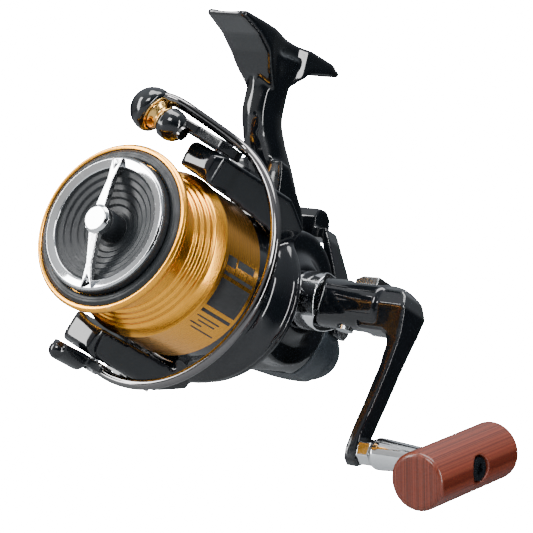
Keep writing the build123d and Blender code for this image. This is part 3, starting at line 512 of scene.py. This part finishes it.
# ---- leg ----
def leg_core():
    """Round-backed core of the leg that spreads into the foot above and the body below."""
    runs = [  # Z, middle along Y, half width, half depth
        (77.0, 53.0, 7.6, 11.0), (74.0, 53.6, 6.9, 9.6), (70.0, 54.8, 5.8, 8.3), (65.0, 55.8, 5.3, 7.5),
        (59.0, 56.7, 5.2, 7.6), (54.0, 59.0, 5.4, 7.6), (48.5, 64.0, 5.8, 7.4), (43.0, 69.6, 6.6, 7.6),
        (37.0, 73.6, 8.0, 8.6), (30.0, 75.6, 9.6, 9.8), (22.0, 76.4, 10.6, 10.6), (16.0, 76.8, 10.6, 10.8)]
    rings = [((0, middle, height), wide, deep, (0, 1, 0)) for height, middle, wide, deep in runs]
    return tube("leg_core", rings, SHAFT, 40)


# ---- spool and drag ----
POLISHED, RIBBED, SATIN = range(3)
SPOOL_OUTLINE = [
    # lip
    (24.7, -0.4), (25.7, -0.6), (26.5, 0.2), (26.5, 1.5), (25.6, 2.9), (24.2, 4.0), (21.9, 4.9),
    # arbor and steps
    (21.5, 5.3, RIBBED), (21.5, 12.3), (22.4, 12.9), (22.4, 14.4), (23.3, 15.0), (23.3, 16.4), (24.2, 17.0),
    (24.2, 18.3), (25.2, 18.9), (26.7, 22.6), (26.7, 23.5),
    # skirt
    (SKIRT_R, 24.1, SATIN), (SKIRT_R, 42.5, SATIN), (25.1, 42.5, SATIN), (25.1, 24.5),
    # inside
    (19.5, 21.0), (6.0, 21.0), (6.0, 17.0), (3.7, 17.0), (3.7, 14.6), (14.0, 14.6), (14.0, 8.0), (15.6, 8.0),
    (15.6, 14.0), (19.5, 14.0), (19.5, 2.8), (24.7, 2.8)]


def make_spool():
    """Gold spool: polished lip and steps, ribbed arbor and satin skirt."""
    mesh = lathe("spool_body", SPOOL_OUTLINE, SHAFT, segments=256, radius=0.3)
    add_piece("spool_body", mesh, ["gold_bright", "arbor", "gold_satin"], "spool", ["spool"])


def skirt_patch(angle, height, start, length):
    """Thin patch on the skirt: its first angle and height in degrees, its start and length along Y."""
    steps = max(2, int(height / 1.5))
    outer = SKIRT_R + 0.04
    points = []
    faces = []
    for index in range(steps + 1):
        turn = math.radians(angle + height * index / steps)
        for depth in (0.0, 0.1):
            for y in (start, start + length):
                points.append(((outer - depth) * math.sin(turn), y, (outer - depth) * math.cos(turn)))
    for index in range(steps):
        a = 4 * index
        faces += [(a, a + 1, a + 5, a + 4), (a + 2, a + 6, a + 7, a + 3), (a, a + 4, a + 6, a + 2),
                  (a + 1, a + 3, a + 7, a + 5)]
    last = 4 * steps
    faces += [(0, 2, 3, 1), (last, last + 1, last + 3, last + 2)]
    return points, faces


def make_skirt_print():
    """Plain printed bars, blocks and ticks on the skirt."""
    front = SKIRT_PRINT_Y
    marks = [(94.0, 2.4, front, 15.5), (99.0, 20.5, front, 15.5), (122.5, 2.4, front, 15.5),
             (83, 7.0, front, 4.6), (83, 5.0, front + 5.6, 9.0)]
    for row in range(4):
        marks.append((128 + 3.2 * row, 1.0, front + 0.4 + 2.2 * (row % 2), 12.0 - 3.0 * (row % 3)))
    points = []
    faces = []
    for mark in marks:
        more_points, more_faces = skirt_patch(*mark)
        faces += [tuple(index + len(points) for index in face) for face in more_faces]
        points += more_points
    mesh = mesh_from("skirt_print", points, faces, SHAFT)
    add_piece("skirt_print", mesh, ["matte"], "spool")


def make_front_ring():
    """Matte ring inside the lip."""
    inner = 21.65
    outline = [(inner, -0.3), (inner, -0.8), (22.2, -1.0), (22.9, -1.0), (23.0, -0.85), (23.6, -0.85),
               (24.6, -0.2), (24.6, 2.8), (inner, 2.8)]
    mesh = lathe("front_ring", outline, SHAFT, 256, 0.1)
    add_piece("front_ring", mesh, ["matte"], "spool", ["spool_front_ring"])


def make_drag_dial():
    """Dished dial with concentric steps, and the chrome ring round it."""
    steps = [(17.6, -3.2)]
    radius, depth = 17.2, -2.4
    while radius > 6.0:
        steps += [(radius, depth), (radius - 1.5, depth + 0.15)]
        radius -= 2.0
        depth += 0.75
    hub = [(0, -5.2), (4.4, -5.2), (4.4, 2.0)]
    rim_and_back = [(18.4, -3.4), (21.3, -3.4), (21.3, 2.2), (19.2, 2.6), (11.0, 3.4), (11.0, 7.6),
                    (2.1, 7.6), (2.1, 2.4), (0, 2.4)]
    mesh = lathe("drag_dial", hub + steps[::-1] + rim_and_back, SHAFT, radius=0.15)
    add_piece("drag_dial", mesh, ["matte"], "drag_knob", ["drag_knob"])
    ring = [(17.6, -3.0), (17.9, -3.5), (20.3, -4.05), (20.9, -3.6), (20.9, -3.3)]
    mesh = lathe("dial_ring", ring, SHAFT, radius=0.12)
    add_piece("dial_ring", mesh, ["chrome"], "drag_knob", ["drag_knob_ring"])


# ---- line roller, bail ----
def make_roller():
    """Waisted line roller."""
    outline = [(2.3, -1.9), (4.5, -1.9), (4.9, -1.6), (4.7, -1.2), (3.7, -0.3), (3.4, 0.3), (3.7, 0.9),
               (4.3, 1.6), (4.3, 1.9), (2.3, 1.9)]
    mesh = lathe("roller", outline, ROLLER, 96, 0.15)
    add_piece("roller", mesh, ["gold_roller"], "line_roller", ["line_roller"])


def on_circle(centre, radius, turn):
    """Point on a circle in the plane of the bail; turn is in degrees from +X to +Z."""
    angle = math.radians(turn)
    return Vector((centre.x + radius * math.cos(angle), BAIL_Y, centre.z + radius * math.sin(angle)))


def bezier(points, steps):
    """Points of a smooth cubic run."""
    a, b, c, d = (Vector(point) for point in points)
    found = []
    for step in range(steps + 1):
        t = step / steps
        found.append(a * (1 - t) ** 3 + b * 3 * t * (1 - t) ** 2 + c * 3 * t * t * (1 - t) + d * t ** 3)
    return found


def wire_path():
    """Centre line of the bail wire, from its tucked end on the far arm to the roller's cap."""
    first, tuck_turn, high = -96.0, -34.2, 75.0     # ends of the tucked arc and of the wide arc
    tuck_r = 34.0
    shaft = Vector((0, 0, 0))
    tuck_centre = on_circle(shaft, BAIL_R - tuck_r, tuck_turn)
    path = [on_circle(tuck_centre, tuck_r, first + (tuck_turn - first) * step / 40) for step in range(41)]
    path += [on_circle(shaft, BAIL_R, tuck_turn + (high - tuck_turn) * step / 60) for step in range(1, 61)]
    last = path[-1]
    path += bezier((last, last + Vector((-5.0, 0.0, 1.2)), (1.2, 18.6, 42.2), (-4.6, 12.6, 42.6)), 16)[1:]
    path += bezier((path[-1], (-8.0, 9.2, 43.0), (-11.0, 7.2, 43.0), (-14.6, 6.8, 41.6)), 12)[1:]
    return path


def make_wire():
    """Bail wire that widens into the cap over its last 24 steps."""
    path = wire_path()
    rings = []
    for index, point in enumerate(path):
        left = len(path) - 1 - index
        grow = max(0.0, 1.0 - left / 24)
        wide = WIRE_R * (1 + 0.9 * grow)
        deep = WIRE_R * (1 + 0.1 * grow)
        rings.append((point, wide, deep, (point.x, 0.001, point.z)))
    mesh = tube("bail_wire_run", rings, ROTOR, 24)
    add_piece("bail_wire_run", mesh, ["dark_chrome"], "bail", ["bail_wire"])


def make_inner_ball():
    """Round boss on the inner side of the roller, with the screw's socket."""
    radius, middle = 5.0, 4.4
    outline = [(0, 2.3), (4.6, 2.3), (radius, 2.9)]
    for step in range(1, 9):
        turn = math.radians(90 - 74 * step / 8)
        outline.append((radius * math.sin(turn), middle + radius * math.cos(turn)))
    outline += [(1.2, 9.0), (0.9, 7.8), (0, 7.8)]
    mesh = lathe("inner_ball", outline, ROLLER, 96, 0.2, sharp=50)
    add_piece("inner_ball", mesh, ["gloss"], "bail")


def make_cap():
    """Round cap on the outer side of the roller, and the gold ring in its mouth."""
    radius, middle = 7.0, -4.3
    outline = [(0, middle - radius)]
    for step in range(1, 13):
        turn = math.radians(90 * step / 12)
        outline.append((radius * math.sin(turn), middle - radius * math.cos(turn)))
    outline += [(radius, -3.6), (6.6, -2.6), (5.9, -2.1), (0, -2.1)]
    mesh = lathe("roller_cap", outline, ROLLER, 96, 0.3, sharp=70)
    add_piece("roller_cap", mesh, ["gloss"], "bail")
    ring = [(4.95, -2.3), (5.6, -2.3), (5.7, -2.0), (5.5, -1.8), (4.95, -1.8)]
    mesh = lathe("cap_ring", ring, ROLLER, 96, 0.1)
    add_piece("cap_ring", mesh, ["gold_roller"], "bail")


# ---- castings ----
CASTINGS = [  # piece, CAD node, voxel in millimetres, rounds of smoothing, own material
    ("rotor_casting", "rotor", 0.40, 40, None), ("crank", "crank_arm", 0.3, 36, None),
    ("lever", "free_spool_lever", 0.3, 14, None), ("tail", "rear_housing", 0.35, 10, None),
    ("tail_knob", "tension_knob", 0.25, 6, None), ("bail_lever", "bail_arm", 0.2, 20, None),
    ("bail_nose", "bail_cam", 0.2, 20, None), ("latch", "fold_latch", 0.15, 4, None),
    ("collar", "handle_collar", 0.2, 5, "chrome"), ("finger_bar", "drag_knob_bar", 0.12, 3, None),
    ("grip", "knob", 0.35, 5, None), ("post", "knob_post", 0.2, 2, None),
    ("sleeve", "knob_sleeve", 0.2, 3, None)]


def make_castings():
    """Body with its leg, then the other rounded pieces."""
    cast("body", "body_frame", 0.46, 30, extra=[leg_core()])
    for name, source, voxel, rounds, material in CASTINGS:
        cast(name, source, voxel, rounds, material)


make_camera()
make_lights()
make_world()
make_floor()
finish_cad_nodes()
make_spool()
make_skirt_print()
make_front_ring()
make_drag_dial()
make_roller()
make_wire()
make_cap()
make_inner_ball()
make_castings()
